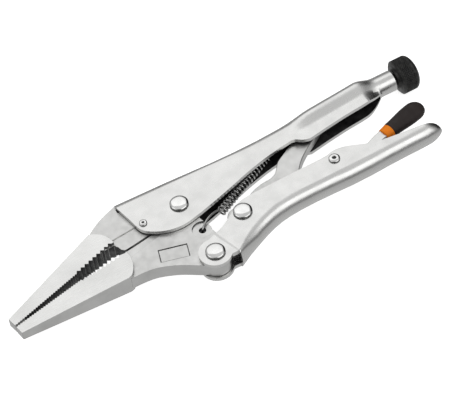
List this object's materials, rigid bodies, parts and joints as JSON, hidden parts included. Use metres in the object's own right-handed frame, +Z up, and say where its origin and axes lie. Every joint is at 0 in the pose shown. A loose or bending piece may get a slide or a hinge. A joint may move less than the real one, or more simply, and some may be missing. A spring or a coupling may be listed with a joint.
{
  "type": "long-nose locking pliers",
  "caption": "Locking pliers with long tapered toothed jaws, sheet-metal handles, toggle link, return spring, knurled adjusting knob and a vinyl-dipped release lever",
  "frame": {"origin": "bottom centre of the whole tool's box, with the tool lying on its side", "axes": "+X from the jaw tips to the adjusting knob along the tool, +Y from the lower handle to the upper handle, +Z up, along the rivets"},
  "size_m": [0.225, 0.063, 0.0169],
  "materials": {
    "nickel": "satin nickel plate on pressed steel",
    "ground_steel": "plated forged steel with ground nose faces",
    "polished_steel": "bright polished steel",
    "spring_steel": "bright spring wire",
    "blackened_steel": "black oxide",
    "dark_vinyl": "matte dipped vinyl",
    "orange_vinyl": "matte dipped vinyl"
  },
  "bodies": {
    "upper_handle": {"upper_handle": "nickel", "fixed_jaw": "ground_steel", "main_rivet": "polished_steel", "tack_rivet": "polished_steel", "return_spring": "spring_steel"},
    "moving_jaw": {"moving_jaw": "ground_steel"},
    "lower_handle": {"lower_handle": "nickel", "jaw_rivet": "polished_steel", "link_rivet": "polished_steel", "lever_rivet": "polished_steel", "link_washer_near": "nickel", "link_washer_far": "nickel", "lever_spacer_near": "nickel", "lever_spacer_far": "nickel"},
    "release_lever": {"release_lever": "polished_steel", "lever_grip": "dark_vinyl", "lever_grip_band": "orange_vinyl"},
    "toggle_link": {"toggle_link": "nickel"},
    "screw_carrier": {"screw_tip": "blackened_steel"},
    "screw": {"adjusting_screw": "blackened_steel", "adjusting_knob": "blackened_steel"}
  },
  "joints": [
    {"name": "jaw_pivot", "type": "hinge", "parent": "upper_handle", "child": "moving_jaw", "pos_m": [-0.0203, 0.00897, 0.00845], "axis": [0, 0, 1], "range_deg": [0, 18], "deforming": ["return_spring"]},
    {"name": "handle_pivot", "type": "hinge", "parent": "moving_jaw", "child": "lower_handle", "pos_m": [-0.0199, -0.02393, 0.00845], "axis": [0, 0, 1], "range_deg": [-57.6, 0]},
    {"name": "lever_pivot", "type": "hinge", "parent": "lower_handle", "child": "release_lever", "pos_m": [0.0507, -0.00753, 0.00845], "axis": [0, 0, -1], "range_deg": [0, 7]},
    {"name": "link_pivot", "type": "hinge", "parent": "upper_handle", "child": "toggle_link", "pos_m": [0.0637, 0.02307, 0.00845], "axis": [0, 0, 1], "range_deg": [0, 16.2]},
    {"name": "screw_advance", "type": "slide", "parent": "upper_handle", "child": "screw_carrier", "axis": [1, 0, 0], "range_m": [0, 0.007]},
    {"name": "screw_turn", "type": "hinge", "parent": "screw_carrier", "child": "screw", "pos_m": [0.0997, 0.02307, 0.00845], "axis": [1, 0, 0], "range_deg": [0, 1800]}
  ],
  "couplings": [
    {"joint": "handle_pivot", "follows": "jaw_pivot", "ratio": -3.2},
    {"joint": "link_pivot", "follows": "jaw_pivot", "ratio": 0.9},
    {"joint": "screw_advance", "follows": "screw_turn", "m_per_rad": 0.00019894}
  ]
}
